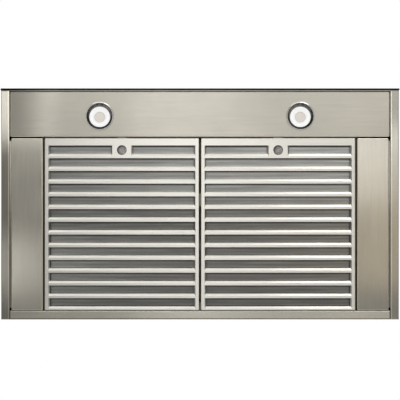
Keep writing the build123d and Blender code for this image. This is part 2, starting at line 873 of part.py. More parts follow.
# Blower box on the deck, open below, with the collar's seat on top
collar_screw_radius = collar_radius + collar_flange / 2
collar_screw_start = 180 / collar_screw_count
with BuildPart() as motor_box:
    with BuildSketch(Plane.XY.offset(deck_z)):
        with Locations((0, box_centre_y)):
            RectangleRounded(box_width, box_depth, bend)
    extrude(amount=box_height + steel)
    with BuildSketch(Plane.XY.offset(deck_z + steel)):
        with Locations((0, box_centre_y)):
            Rectangle(box_width - 2 * steel, box_depth - 2 * steel)
    extrude(amount=box_height - steel, mode=Mode.SUBTRACT)
    with BuildSketch(Plane.XY.offset(deck_z)):
        with Locations((0, box_centre_y)):
            Rectangle(deck_hole_width, deck_hole_depth)
            with GridLocations(box_screw_x, box_screw_spacing, 2, 2):
                Circle(screw_hole)
    extrude(amount=steel, mode=Mode.SUBTRACT)
    with BuildSketch(Plane.XY.offset(box_top_z)):
        with Locations((0, -collar_from_wall)):
            Circle(collar_inner)
            with PolarLocations(collar_screw_radius, collar_screw_count, start_angle=collar_screw_start):
                Circle(screw_hole)
    extrude(amount=steel, mode=Mode.SUBTRACT)
save(motor_box, "motor_box")


def scroll_line():
    """The scroll's inner line: tongue wall, three growing quarter arcs and the outer outlet wall."""
    step = scroll_step / 2
    radius = scroll_start_radius
    first_y = blower_y + step
    first_z = blower_z - step
    tongue_y = first_y + radius * cos(radians(tongue_angle))
    Line((tongue_y, outlet_z), (tongue_y, first_z + radius * sin(radians(tongue_angle))))
    CenterArc((first_y, first_z), radius, tongue_angle, -tongue_angle)
    CenterArc((blower_y - step, blower_z - step), radius + scroll_step, 0, -90)
    CenterArc((blower_y - step, blower_z + step), radius + 2 * scroll_step, -90, -90)
    outer_y = blower_y - step - radius - 2 * scroll_step
    Line((outer_y, blower_z + step), (outer_y, outlet_z))
    return tongue_y, outer_y


# Scroll wrap
with BuildPart() as scroll_wrap:
    with BuildSketch(Plane.YZ.offset(-scroll_width / 2)):
        with BuildLine():
            outlet_rear_y, outlet_front_y = scroll_line()
            offset(amount=scroll_steel, side=Side.LEFT)
        make_face()
    extrude(amount=scroll_width)
save(scroll_wrap, "scroll_wrap")

# Scroll side plates with their rolled inlets, the left one drilled for the motor bracket
arm_reach = inlet_radius + arm_overlap
arm_screw_radius = arm_reach - arm_foot / 2
for sign, side in ((-1, "left"), (1, "right")):
    inner_x = sign * scroll_width / 2
    with BuildPart() as scroll_side:
        with BuildSketch(Plane.YZ.offset(inner_x)):
            with BuildLine():
                scroll_line()
                Line((outlet_front_y, outlet_z), (outlet_rear_y, outlet_z))
            make_face()
            offset(amount=scroll_steel, kind=Kind.INTERSECTION)
            with Locations((blower_y, blower_z)):
                Circle(inlet_radius, mode=Mode.SUBTRACT)
                if sign < 0:
                    with PolarLocations(arm_screw_radius, arm_count, start_angle=90):
                        Circle(screw_hole, mode=Mode.SUBTRACT)
        extrude(amount=sign * scroll_steel)
        with BuildSketch(Plane.YZ.offset(inner_x)):
            with Locations((blower_y, blower_z)):
                Circle(inlet_radius + scroll_steel)
                Circle(inlet_radius, mode=Mode.SUBTRACT)
        extrude(amount=sign * inlet_lip)
    save(scroll_side, f"scroll_side_{side}")

# Impeller: forward-curved blades between two end rings, seated in the slotted rim of a middle disc
impeller_half = impeller_width / 2
blade_inner = impeller_radius - blade_depth
disc_radius = blade_inner + disc_seat
with BuildSketch(Plane.XY) as blade:
    with BuildLine():
        ThreePointArc(
            (blade_inner + blade_seat, 0),
            (impeller_radius - blade_middle, blade_camber),
            (impeller_radius - blade_seat, blade_lean),
        )
        offset(amount=blade_thickness, side=Side.LEFT)
    make_face()
with BuildPart() as impeller_blades:
    with BuildSketch(Plane.YZ.offset(impeller_ring - impeller_half)):
        with Locations((blower_y, blower_z)):
            with PolarLocations(0, blade_count):
                add(blade.sketch)
    extrude(amount=impeller_width - 2 * impeller_ring)
with BuildPart() as impeller_rings:
    for start in (-impeller_half, impeller_half - impeller_ring):
        with BuildSketch(Plane.YZ.offset(start)):
            with Locations((blower_y, blower_z)):
                Circle(impeller_radius)
                Circle(blade_inner, mode=Mode.SUBTRACT)
        extrude(amount=impeller_ring)
with BuildPart() as impeller_centre:
    for radius, length in ((disc_radius, impeller_disc), (impeller_hub_radius, impeller_hub_length)):
        with BuildSketch(Plane.YZ.offset(-impeller_disc / 2)):
            with Locations((blower_y, blower_z)):
                Circle(radius)
                Circle(shaft_radius + shaft_gap, mode=Mode.SUBTRACT)
        extrude(amount=length)
    add(impeller_blades.part, mode=Mode.SUBTRACT)
save_group((impeller_blades, impeller_rings, impeller_centre), "impeller")

# Motor in the left inlet
motor_right_x = -impeller_disc / 2 - motor_gap
motor_left_x = motor_right_x - motor_length
bearing_starts = (motor_left_x, motor_right_x - bearing_width)
with BuildPart() as motor_housing:
    with BuildSketch(Plane.YZ.offset(motor_left_x)):
        with Locations((blower_y, blower_z)):
            Circle(motor_radius)
    extrude(amount=motor_length)
    chamfer(motor_housing.edges(), motor_bevel)
    with BuildSketch(Plane.YZ.offset(motor_left_x)):
        with Locations((blower_y, blower_z)):
            Circle(shaft_radius + motor_bore_gap)
    extrude(amount=motor_length, mode=Mode.SUBTRACT)
    for start in bearing_starts:
        with BuildSketch(Plane.YZ.offset(start)):
            with Locations((blower_y, blower_z)):
                Circle(bearing_radius)
        extrude(amount=bearing_width, mode=Mode.SUBTRACT)
save(motor_housing, "motor_housing")

with BuildPart() as motor_bearings:
    for start in bearing_starts:
        with BuildSketch(Plane.YZ.offset(start)):
            with Locations((blower_y, blower_z)):
                Circle(bearing_radius)
                Circle(shaft_radius + shaft_gap, mode=Mode.SUBTRACT)
        extrude(amount=bearing_width)
save(motor_bearings, "motor_bearings")

hub_end_x = impeller_hub_length - impeller_disc / 2
nut_bore = nut_height - nut_dome
shaft_start_x = motor_left_x - shaft_overhang
with BuildPart() as motor_shaft:
    with BuildSketch(Plane.YZ.offset(shaft_start_x)):
        with Locations((blower_y, blower_z)):
            Circle(shaft_radius)
    extrude(amount=hub_end_x + nut_bore - shaft_end_gap - shaft_start_x)
    chamfer(motor_shaft.edges(), shaft_bevel)
save(motor_shaft, "motor_shaft")

with BuildPart() as impeller_nut:
    with BuildSketch(Plane.YZ.offset(hub_end_x)):
        with Locations((blower_y, blower_z)):
            RegularPolygon(nut_radius, 6)
    extrude(amount=nut_height)
    with BuildSketch(Plane.YZ.offset(hub_end_x)):
        with Locations((blower_y, blower_z)):
            Circle(shaft_radius + shaft_gap)
    extrude(amount=nut_bore, mode=Mode.SUBTRACT)
    chamfer(impeller_nut.faces().sort_by(Axis.X)[-1].edges(), nut_bevel)
save(impeller_nut, "impeller_nut")

# Motor bracket: a clamp ring and three arms, screwed to the left side plate
bracket_x = -scroll_width / 2 - scroll_steel
arm_face_x = bracket_x - arm_standoff - arm_thickness
arm_root = motor_radius + clamp_wall / 2
with BuildPart() as motor_bracket:
    with BuildSketch(Plane.YZ.offset(bracket_x - clamp_width)):
        with Locations((blower_y, blower_z)):
            Circle(motor_radius + clamp_wall)
            Circle(motor_radius, mode=Mode.SUBTRACT)
    extrude(amount=clamp_width)
    with BuildSketch(Plane.YZ.offset(arm_face_x)):
        with Locations((blower_y, blower_z)):
            with PolarLocations((arm_root + arm_reach) / 2, arm_count, start_angle=90):
                Rectangle(arm_reach - arm_root, arm_width)
    extrude(amount=arm_thickness)
    with BuildSketch(Plane.YZ.offset(bracket_x - arm_standoff)):
        with Locations((blower_y, blower_z)):
            with PolarLocations(arm_screw_radius, arm_count, start_angle=90):
                Rectangle(arm_foot, arm_width)
    extrude(amount=arm_standoff)
    with BuildSketch(Plane.YZ.offset(arm_face_x)):
        with Locations((blower_y, blower_z)):
            with PolarLocations(arm_screw_radius, arm_count, start_angle=90):
                Circle(screw_hole)
    extrude(amount=arm_thickness + arm_standoff, mode=Mode.SUBTRACT)
save(motor_bracket, "motor_bracket")

# Transition from the scroll's mouth to the round collar
mouth_depth = outlet_rear_y - outlet_front_y
mouth_y = (outlet_rear_y + outlet_front_y) / 2


def transition(inset):
    """The transition's block from a bevelled rectangle to an octagon, drawn in by an inset."""
    with BuildPart(mode=Mode.PRIVATE) as block:
        with BuildSketch(Plane.XY.offset(outlet_z + scroll_steel)) as mouth:
            with Locations((0, mouth_y)):
                Rectangle(scroll_width - 2 * inset, mouth_depth - 2 * inset)
            chamfer(mouth.vertices(), outlet_corner - inset)
        with BuildSketch(Plane.XY.offset(box_top_z)):
            with Locations((0, -collar_from_wall)):
                turn = 180 / outlet_sides
                RegularPolygon(collar_inner - inset, outlet_sides, major_radius=False, rotation=turn)
        loft(ruled=True)
    return block.part


with BuildPart() as outlet_transition:
    add(transition(0))
    add(transition(scroll_steel), mode=Mode.SUBTRACT)
save(outlet_transition, "outlet_transition")

# Duct collar with its flange, screw holes, damper rod holes and flap stops
with BuildPart() as duct_collar:
    with BuildSketch(Plane.XY.offset(collar_z)):
        with Locations((0, -collar_from_wall)):
            Circle(collar_radius + collar_flange)
            with PolarLocations(collar_screw_radius, collar_screw_count, start_angle=collar_screw_start):
                Circle(screw_hole, mode=Mode.SUBTRACT)
    extrude(amount=collar_wall)
    with BuildSketch(Plane.XY.offset(collar_z)):
        with Locations((0, -collar_from_wall)):
            Circle(collar_radius)
    extrude(amount=collar_height)
    with BuildSketch(Plane.XY.offset(collar_z)):
        with Locations((0, -collar_from_wall)):
            Circle(collar_inner)
    extrude(amount=collar_height, mode=Mode.SUBTRACT)
    stop_top = axis_z - flap_thickness / 2 - seat_gap
    with BuildSketch(Plane.XY.offset(stop_top - stop_thickness)):
        with Locations((0, -collar_from_wall)):
            Circle(collar_inner)
            Circle(flap_radius - stop_overlap, mode=Mode.SUBTRACT)
            Rectangle(2 * collar_radius, 2 * stop_start, mode=Mode.SUBTRACT)
    extrude(amount=stop_thickness)
    with BuildSketch(Plane.YZ.offset(-collar_radius)):
        with Locations((-collar_from_wall, axis_z)):
            Circle(rod_radius)
    extrude(amount=2 * collar_radius, mode=Mode.SUBTRACT)
save(duct_collar, "duct_collar")

rod_half = collar_radius - rod_end_gap
with BuildPart() as damper_rod:
    with BuildSketch(Plane.YZ.offset(-rod_half)):
        with Locations((-collar_from_wall, axis_z)):
            Circle(rod_radius)
    extrude(amount=2 * rod_half)
save(damper_rod, "damper_rod")

# Damper flaps, two half discs on one rod, with knuckles that pass between each other
flap_sides = (
    (-1, "front", front_knuckle, rear_knuckle),
    (1, "rear", rear_knuckle, front_knuckle),
)
for sign, side, own_knuckle, other_knuckle in flap_sides:
    with BuildPart() as flap:
        with BuildSketch(Plane.XY.offset(axis_z - flap_thickness / 2)):
            with Locations((0, -collar_from_wall)):
                Circle(flap_radius)
            with Locations((0, -collar_from_wall - sign * (flap_radius - flap_setback))):
                Rectangle(2 * flap_radius, 2 * flap_radius, mode=Mode.SUBTRACT)
            with Locations((0, -collar_from_wall)):
                with GridLocations(2 * other_knuckle, 0, 2, 1):
                    notch_width = knuckle_length + 2 * knuckle_end_gap
                    Rectangle(notch_width, 2 * (knuckle_radius + knuckle_notch_gap), mode=Mode.SUBTRACT)
                with GridLocations(2 * collar_radius, 0, 2, 1):
                    Rectangle(flap_end_notch, flap_end_notch, mode=Mode.SUBTRACT)
        extrude(amount=flap_thickness)
        for knuckle_x in (-own_knuckle, own_knuckle):
            with BuildSketch(Plane.YZ.offset(knuckle_x - knuckle_length / 2)):
                with Locations((-collar_from_wall, axis_z)):
                    Circle(knuckle_radius)
            extrude(amount=knuckle_length)
        with BuildSketch(Plane.YZ.offset(-collar_radius)):
            with Locations((-collar_from_wall, axis_z)):
                Circle(rod_radius + rod_gap)
        extrude(amount=2 * collar_radius, mode=Mode.SUBTRACT)
    save(flap, f"damper_flap_{side}")


def chimney(half_width, front, back, foot, height):
    """A chimney cover: three sides with returns along the wall."""
    line = [
        (half_width - chimney_return, back),
        (half_width, back),
        (half_width, front),
        (-half_width, front),
        (-half_width, back),
        (chimney_return - half_width, back),
    ]
    return folded(Plane.XY.offset(foot), line, steel, bend, height, Side.RIGHT)


# Chimney covers, the upper one telescoping inside the lower
chimney_x = chimney_width / 2
inner_chimney_x = chimney_x - steel - chimney_gap
upper_foot = deck_z + seat_gap
upper_back = -steel - chimney_gap
upper_front = steel + chimney_gap - chimney_depth
bracket_foot = upper_foot + upper_chimney_height - bracket_height - bracket_drop
bracket_z = bracket_foot + bracket_height / 2
ear_x = inner_chimney_x - steel - bracket_gap
ear_y = upper_back - steel
ear_screw_y = ear_y - ear_depth / 2

with BuildPart() as chimney_lower:
    add(chimney(chimney_x, -chimney_depth, 0, deck_z, lower_chimney_height))
save(chimney_lower, "chimney_lower")

with BuildPart() as chimney_upper:
    add(chimney(inner_chimney_x, upper_front, upper_back, upper_foot, upper_chimney_height))
    with BuildSketch(Plane.YZ.offset(-inner_chimney_x)):
        with Locations((ear_screw_y, bracket_z)):
            Circle(screw_hole)
    extrude(amount=2 * inner_chimney_x, mode=Mode.SUBTRACT)
save(chimney_upper, "chimney_upper")

# Wall bracket in the upper chimney's top
with BuildPart() as chimney_bracket:
    ear_line = [
        (ear_x, ear_y - ear_depth),
        (ear_x, ear_y),
        (ear_x - chimney_return - ear_step, ear_y),
        (ear_x - chimney_return - ear_step - ear_slope, 0),
        (chimney_return + ear_step + ear_slope - ear_x, 0),
        (chimney_return + ear_step - ear_x, ear_y),
        (-ear_x, ear_y),
        (-ear_x, ear_y - ear_depth),
    ]
    add(folded(Plane.XY.offset(bracket_foot), ear_line, bracket_steel, bend, bracket_height, Side.LEFT))
    with BuildSketch(Plane.XZ):
        with Locations((0, bracket_z)):
            with GridLocations(bracket_hole_spacing, 0, 2, 1):
                Circle(bracket_hole / 2)
    extrude(amount=bracket_steel, mode=Mode.SUBTRACT)
    with BuildSketch(Plane.YZ.offset(-inner_chimney_x)):
        with Locations((ear_screw_y, bracket_z)):
            Circle(screw_hole)
    extrude(amount=2 * inner_chimney_x, mode=Mode.SUBTRACT)
save(chimney_bracket, "chimney_bracket")

# Power box on the lamp panel, open at the top under its own lid
power_box_top = panel_floor + power_box_height
with BuildPart() as power_box:
    with BuildSketch(Plane.XY.offset(panel_floor)):
        with Locations((0, light_panel_y)):
            RectangleRounded(power_box_length, power_box_depth, power_box_corner)
    extrude(amount=power_box_height)
    offset(amount=-box_wall, openings=power_box.faces().sort_by(Axis.Z)[-1])
save(power_box, "power_box")

lid_grow = 2 * (lid_gap + box_wall)
with BuildPart() as power_box_lid:
    with BuildSketch(Plane.XY.offset(power_box_top - lid_skirt)):
        with Locations((0, light_panel_y)):
            lid_corner = power_box_corner + lid_gap + box_wall
            RectangleRounded(power_box_length + lid_grow, power_box_depth + lid_grow, lid_corner)
    extrude(amount=lid_skirt + box_wall)
    fillet(power_box_lid.faces().sort_by(Axis.Z)[-1].edges(), lid_round)
    with BuildSketch(Plane.XY.offset(power_box_top - lid_skirt)):
        with Locations((0, light_panel_y)):
            skirt_corner = power_box_corner + lid_gap
            RectangleRounded(power_box_length + 2 * lid_gap, power_box_depth + 2 * lid_gap, skirt_corner)
    extrude(amount=lid_skirt, mode=Mode.SUBTRACT)
save(power_box_lid, "power_box_lid")

# Junction box beside the air box, with its cover and the gland in the back sheet
junction_y = -junction_box_from_wall - junction_box_length / 2
junction_top = junction_z + junction_box_height / 2
with BuildPart() as junction_box:
    with BuildSketch(Plane.XY.offset(junction_top - junction_box_height)):
        with Locations((junction_x, junction_y)):
            RectangleRounded(junction_box_width, junction_box_length, junction_box_corner)
    extrude(amount=junction_box_height)
    offset(amount=-box_wall, openings=junction_box.faces().sort_by(Axis.Z)[-1])
    with BuildSketch(Plane.XZ.offset(junction_box_from_wall)):
        with Locations((junction_x, junction_z)):
            Circle(gland_bore / 2)
    extrude(amount=box_wall, mode=Mode.SUBTRACT)
save(junction_box, "junction_box")

plug_inset = 2 * (box_wall + lid_gap)
with BuildPart() as junction_cover:
    with BuildSketch(Plane.XY.offset(junction_top)):
        with Locations((junction_x, junction_y)):
            RectangleRounded(junction_box_width, junction_box_length, junction_box_corner)
    extrude(amount=box_wall)
    with BuildSketch(Plane.XY.offset(junction_top)):
        with Locations((junction_x, junction_y)):
            plug_corner = junction_box_corner - box_wall
            RectangleRounded(junction_box_width - plug_inset, junction_box_length - plug_inset, plug_corner)
    extrude(amount=-cover_plug)
save(junction_cover, "junction_cover")

with BuildPart() as cable_gland:
    with BuildSketch(Plane.XZ):
        with Locations((junction_x, junction_z)):
            Circle(gland_body / 2 - gland_gap)
    extrude(amount=junction_box_from_wall)
    with BuildSketch(Plane.XZ.offset(back_steel)):
        with Locations((junction_x, junction_z)):
            Circle(gland_flange / 2)
    extrude(amount=gland_flange_thickness)
    with BuildSketch(Plane.XZ):
        with Locations((junction_x, junction_z)):
            Circle(gland_bore / 2)
    extrude(amount=junction_box_from_wall, mode=Mode.SUBTRACT)
save(cable_gland, "cable_gland")

# Run capacitor on the blower box's flange
capacitor_x = box_width / 2 - steel - capacitor_radius - capacitor_gap
capacitor_y = -box_from_wall - steel - capacitor_radius - capacitor_gap
with BuildPart() as run_capacitor:
    with BuildSketch(Plane.XY.offset(deck_z + steel)):
        with Locations((capacitor_x, capacitor_y)):
            Circle(capacitor_radius)
    extrude(amount=capacitor_length)
    chamfer(run_capacitor.faces().sort_by(Axis.Z)[-1].edges(), capacitor_bevel)
save(run_capacitor, "run_capacitor")

# Screws of the fixed pieces: blower box to deck, collar to blower box, motor bracket to scroll
with BuildPart() as fixing_screws:
    for x in (-box_screw_x / 2, box_screw_x / 2):
        for y in (-box_screw_spacing / 2, box_screw_spacing / 2):
            head = Plane(origin=(x, box_centre_y + y, canopy_height), z_dir=(0, 0, -1))
            add(screw(head, deck_steel + steel))
    for place in PolarLocations(collar_screw_radius, collar_screw_count, start_angle=collar_screw_start):
        spot = place.position
        head = Plane(origin=(spot.X, spot.Y - collar_from_wall, collar_z + collar_wall), z_dir=(0, 0, 1))
        add(screw(head, collar_wall + steel))
    for place in PolarLocations(arm_screw_radius, arm_count, start_angle=90):
        spot = place.position
        head = Plane(origin=(arm_face_x, spot.X + blower_y, spot.Y + blower_z), z_dir=(-1, 0, 0))
        add(screw(head, arm_thickness + arm_standoff + scroll_steel))
save(fixing_screws, "fixing_screws")

# Screws that hold the upper chimney to its wall bracket
with BuildPart() as bracket_screws:
    for sign in (-1, 1):
        head = Plane(origin=(sign * inner_chimney_x, ear_screw_y, bracket_z), z_dir=(sign, 0, 0))
        add(screw(head, steel + bracket_gap + bracket_steel))
save(bracket_screws, "bracket_screws")
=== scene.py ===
from math import pi

import bpy
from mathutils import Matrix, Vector


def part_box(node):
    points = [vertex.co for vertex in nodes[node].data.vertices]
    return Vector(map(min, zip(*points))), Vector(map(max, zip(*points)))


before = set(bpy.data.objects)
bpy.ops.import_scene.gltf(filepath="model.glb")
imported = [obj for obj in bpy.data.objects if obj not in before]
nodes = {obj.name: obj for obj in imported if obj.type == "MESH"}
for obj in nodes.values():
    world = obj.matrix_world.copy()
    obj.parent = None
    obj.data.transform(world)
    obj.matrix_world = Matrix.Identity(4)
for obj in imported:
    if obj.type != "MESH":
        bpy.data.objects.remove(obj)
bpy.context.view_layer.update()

# Lengths and places are in metres, and colours are linear.

# Photograph: taken straight up at the underside, with the front at the top
photo_width = 0.9172
photo_centre_y = -0.274
camera_lens = 120.0
camera_sensor = 36.0
camera_distance = photo_width * camera_lens / camera_sensor

# Stage and light
floor_level = -4.6
floor_size = 40.0
lamp_level = -3.1
sky_light = 0.55
watts_per_radiance = 4
white_light = (1.0, 1.0, 1.0)
warm_light = (1.0, 0.85, 0.64)
warm_lamp = "right_rear"

# Places on the panels and filters, as in the CAD
face_level = 0.002
bend_rise = 0.004
slot_pitch = 0.0292
throat_front_y = -0.3971
gap_bend_x = 0.0040
gap_flat_x = 0.0046
hole_x = 0.17945
hole_y = -0.3887
bead_front_y = -0.0185
bead_fade = 0.001

# Places on the rims, the front hem and the sheets inside the canopy
rim_inner_x = 0.436
rim_outer_x = 0.457
# Painted shade on the rims' undersides deepens from the first of these places to the second
rim_lit_y = -0.415
rim_shaded_y = -0.375
rim_under_level = 0.003
rim_side_level = 0.005
hem_rise = 0.004
inside_start_level = 0.010
inside_full_level = 0.014

# Colours
steel_colour = (0.47, 0.447, 0.390)
filter_colour = (0.67, 0.652, 0.60)
baffle_colour = (0.32, 0.32, 0.305)
latch_colour = (0.235, 0.230, 0.220)
bright_colour = (0.78, 0.77, 0.74)
zinc_colour = (0.55, 0.56, 0.57)
# Zinc darkened as painted shade, for the filter guides and the air box's walls
shaded_zinc_colour = (0.20, 0.168, 0.12)
spring_colour = (0.35, 0.36, 0.38)
reflector_colour = (0.85, 0.82, 0.75)
lip_colour = (0.50, 0.49, 0.46)
funnel_colour = (0.10, 0.097, 0.09)
glass_colour = (0.001, 0.001, 0.0012)
white_plastic_colour = (0.78, 0.78, 0.75)
black_plastic_colour = (0.02, 0.02, 0.02)
board_colour = (0.02, 0.12, 0.05)
paint_colour = (0.03, 0.03, 0.033)
case_colour = (0.72, 0.72, 0.70)
floor_colour = (0.62, 0.615, 0.60)
sky_colour = (1.0, 1.0, 1.0, 1.0)

# Noise values mostly lie in this range
noise_low = 0.3
noise_high = 0.7

# The inputs of the two values and the output of Blender's Mix node, by data type
MIX_SOCKETS = {"FLOAT": (2, 3, 0), "RGBA": (6, 7, 2)}


# Node helpers
def set_inputs(tree, made, values):
    """Sets a node's inputs by name or number, each to a fixed value or to another node's output."""
    for key, value in values.items():
        if isinstance(value, bpy.types.NodeSocket):
            tree.links.new(value, made.inputs[key])
        else:
            made.inputs[key].default_value = value


def node(tree, kind, settings=None, values=None):
    """One shader node with its settings and its inputs."""
    made = tree.nodes.new("ShaderNode" + kind)
    for key, value in (settings or {}).items():
        setattr(made, key, value)
    set_inputs(tree, made, values or {})
    return made


def new_material(name):
    """A material with its node tree and its main shader."""
    material = bpy.data.materials.new(name)
    material.use_nodes = True
    return material, material.node_tree, material.node_tree.nodes["Principled BSDF"]


def calculate(tree, operation, *values):
    """Arithmetic on one or two values, each fixed or varying."""
    made = node(tree, "Math", {"operation": operation})
    set_inputs(tree, made, dict(enumerate(values)))
    return made.outputs[0]


def mix(tree, factor, first, second, kind="FLOAT"):
    """Two values or colours blended by a factor."""
    first_input, second_input, output = MIX_SOCKETS[kind]
    values = {0: factor, first_input: first, second_input: second}
    return node(tree, "Mix", {"data_type": kind}, values).outputs[output]


def scaled(tree, colour, factor):
    """A colour made lighter or darker by a factor that varies over the surface."""
    values = {0: colour, "Scale": factor}
    return node(tree, "VectorMath", {"operation": "SCALE"}, values).outputs["Vector"]


def spread(tree, source, low, high, source_low=noise_low, source_high=noise_high):
    """A value's range mapped onto another, and held at its ends."""
    source_range = {"Value": source, "From Min": source_low, "From Max": source_high}
    values = {**source_range, "To Min": low, "To Max": high}
    return node(tree, "MapRange", values=values).outputs["Result"]


def ramp(tree, source, stops):
    """A colour ramp with stops of (position, colour)."""
    made = node(tree, "ValToRGB", values={"Fac": source})
    elements = made.color_ramp.elements
    while len(elements) < len(stops):
        elements.new(position=0.5)
    for element, (position, colour) in zip(elements, stops):
        element.position = position
        element.color = (*colour, 1)
    return made.outputs["Color"]


def grey_ramp(tree, source, stops):
    """A ramp of plain factors, with stops of (position, factor)."""
    return ramp(tree, source, [(position, (factor,) * 3) for position, factor in stops])


def bump(tree, shader, height, strength, distance):
    """Fine relief on the shader's surface."""
    values = {"Height": height, "Strength": strength, "Distance": distance}
    made = node(tree, "Bump", values=values)
    tree.links.new(made.outputs["Normal"], shader.inputs["Normal"])


# Places in the object's own space
def own_space(tree, output):
    """The surface's place (Object) or its facing (Normal)."""
    return node(tree, "TexCoord").outputs[output]


def axis_of(tree, vector, axis):
    """One axis of a vector."""
    return node(tree, "SeparateXYZ", values={0: vector}).outputs[axis]


def place_along(tree, axis):
    """The place along one axis."""
    return axis_of(tree, own_space(tree, "Object"), axis)


def facing_along(tree, axis):
    """How much the surface faces along one axis, from -1 to 1."""
    return axis_of(tree, own_space(tree, "Normal"), axis)


def distance_aside(tree):
    """The distance from the hood's middle towards either side."""
    return calculate(tree, "ABSOLUTE", place_along(tree, "X"))


def height_share(tree, low, rise):
    """The height above a level, as a share of a rise."""
    return spread(tree, place_along(tree, "Z"), 0, 1, low, low + rise)


def from_axis(tree, centre):
    """The level vector from an upright axis."""
    values = {
        "Vector": own_space(tree, "Object"),
        "Location": (-centre[0], -centre[1], 0),
        "Scale": (1, 1, 0),
    }
    return node(tree, "Mapping", values=values).outputs["Vector"]


def radius_share(tree, centre, reach):
    """The distance from an upright axis, as a share of the reach."""
    values = {0: from_axis(tree, centre)}
    length = node(tree, "VectorMath", {"operation": "LENGTH"}, values)
    return spread(tree, length.outputs["Value"], 0, 1, 0, reach)


def object_noise(tree, scale, stretch=(1, 1, 1), detail=4, roughness=0.55):
    """Noise in the object's own space, stretched along its axes."""
    values = {"Vector": own_space(tree, "Object"), "Scale": stretch}
    place = node(tree, "Mapping", values=values).outputs["Vector"]
    values = {"Vector": place, "Scale": scale, "Detail": detail, "Roughness": roughness}
    return node(tree, "TexNoise", values=values).outputs["Fac"]


# Brushed sheet: fine hairlines, broader bands and faint smudges. The side values are for the
# rims and side panels, which are brushed from front to back
hairline_scale = 1400
band_scale = 240
smudge_scale = 9
smudge_polish = 0.02
smudge_dulling = 0.03
hairline_dulling = 0.03
side_roughness = 0.17
side_anisotropy = 0.85
HAIRLINE_STRETCH = {"X": (0.01, 1, 1), "Y": (1, 0.01, 1), "Z": (1, 1, 0.01)}
BAND_STRETCH = {"X": (0.04, 1, 1), "Y": (1, 0.04, 1), "Z": (1, 1, 0.04)}


def brushed(
    name,
    colour,
    grain,
    smear=None,
    roughness=0.22,
    anisotropy=1.0,
    fine=0.03,
    broad=0.03,
    shade=None,
):
    """Sheet steel brushed along the grain's axis. Highlights follow smear, or else the grain."""
    material, tree, shader = new_material(name)
    hairlines = object_noise(tree, hairline_scale, HAIRLINE_STRETCH[grain])
    bands = object_noise(tree, band_scale, BAND_STRETCH[grain], detail=3)
    smudges = object_noise(tree, smudge_scale, detail=5, roughness=0.7)
    light = spread(tree, hairlines, 1 - fine, 1 + fine)
    factor = calculate(tree, "MULTIPLY", light, spread(tree, bands, 1 - broad, 1 + broad))
    if shade:
        factor = calculate(tree, "MULTIPLY", factor, shade(tree))
    worn = spread(tree, smudges, roughness - smudge_polish, roughness + smudge_dulling)
    lines = spread(tree, hairlines, -hairline_dulling, hairline_dulling)
    tangent = node(tree, "Tangent", {"direction_type": "RADIAL", "axis": smear or grain})
    set_inputs(tree, shader, {
        "Base Color": scaled(tree, colour, factor),
        "Metallic": 1,
        "Roughness": calculate(tree, "ADD", worn, lines),
        "Anisotropic": anisotropy,
        "Tangent": tangent.outputs["Tangent"],
    })
    bump(tree, shader, hairlines, strength=0.3, distance=0.00003)
    return material


# Satin surfaces: a fine grain and faint clouds
satin_grain_scale = 600
cloud_scale = 14
satin_variation = 0.04


def satin(name, colour, roughness, metallic=1.0, contrast=0.04, specular=0.5, shade=None):
    """A fine-grained surface: satin metal, cast paint or moulded plastic."""
    material, tree, shader = new_material(name)
    fine = object_noise(tree, satin_grain_scale, detail=3)
    clouds = object_noise(tree, cloud_scale, detail=3)
    factor = spread(tree, clouds, 1 - contrast, 1 + contrast)
    if shade:
        factor = calculate(tree, "MULTIPLY", factor, shade(tree))
    set_inputs(tree, shader, {
        "Base Color": scaled(tree, colour, factor),
        "Metallic": metallic,
        "Roughness": spread(tree, fine, roughness - satin_variation, roughness + satin_variation),
        "Specular IOR Level": specular,
    })
    bump(tree, shader, fine, strength=0.2, distance=0.00005)
    return material


# Sheet inside the canopy: painted shade where it faces down
inner_shade_share = 0.3
facing_down = -0.3
facing_level = -0.1


def inner_shade(tree):
    """Sheet that faces down inside the canopy is darkened as painted shade, and all the rest is as
    brushed.
    """
    facing = facing_along(tree, "Z")
    shaded = spread(tree, facing, inner_shade_share, 1, facing_down, facing_level)
    height = place_along(tree, "Z")
    outside = spread(tree, height, 1, 0, inside_start_level, inside_full_level)
    return calculate(tree, "MAXIMUM", shaded, outside)


# Front hem, upwards from its lowest edge, with painted shade along the fold
HEM_RAMP = ((0.0, 0.5), (0.3, 0.5), (0.5, 0.2), (0.8, 1.0))


def hem_shade(tree):
    """The folded lower edge of the front sheet is darkened with painted shade."""
    hem = grey_ramp(tree, height_share(tree, 0, hem_rise), HEM_RAMP)
    return calculate(tree, "MULTIPLY", hem, inner_shade(tree))


# Rims, outwards from the inner edge: a painted highlight on the inner edge and painted shade on the
# outer bend. The plain share is the brushed sheet
rim_plain = 0.6
# Shares of painted shade at the rear of each rim
rim_left_rear_shade = 0.58
rim_right_rear_shade = 0.88
RIM_RAMP = ((0.0, 0.95), (0.19, 0.95), (0.22, rim_plain), (0.87, rim_plain), (0.91, 0.2))


def rim_shade(rear_shade):
    """A rim's underside has a painted highlight on its inner edge and painted shade on its outer
    bend, and painted shade that deepens to the rear.
    """
    def shade(tree):
        aside = spread(tree, distance_aside(tree), 0, 1, rim_inner_x, rim_outer_x)
        rear = spread(tree, place_along(tree, "Y"), 1, rear_shade, rim_lit_y, rim_shaded_y)
        under = calculate(tree, "MULTIPLY", grey_ramp(tree, aside, RIM_RAMP), rear)
        height = place_along(tree, "Z")
        is_under = spread(tree, height, 1, 0, rim_under_level, rim_side_level)
        share = mix(tree, is_under, rim_plain, under)
        return calculate(tree, "MULTIPLY", share, inner_shade(tree))
    return shade


# Panel bends, upwards from the face, with a painted highlight. The plain share is the brushed sheet
panel_plain = 0.5
BEND_HIGHLIGHT_RAMP = ((0.0, panel_plain), (0.01, panel_plain), (0.03, 1.0), (0.6, 1.0), (0.8, panel_plain))


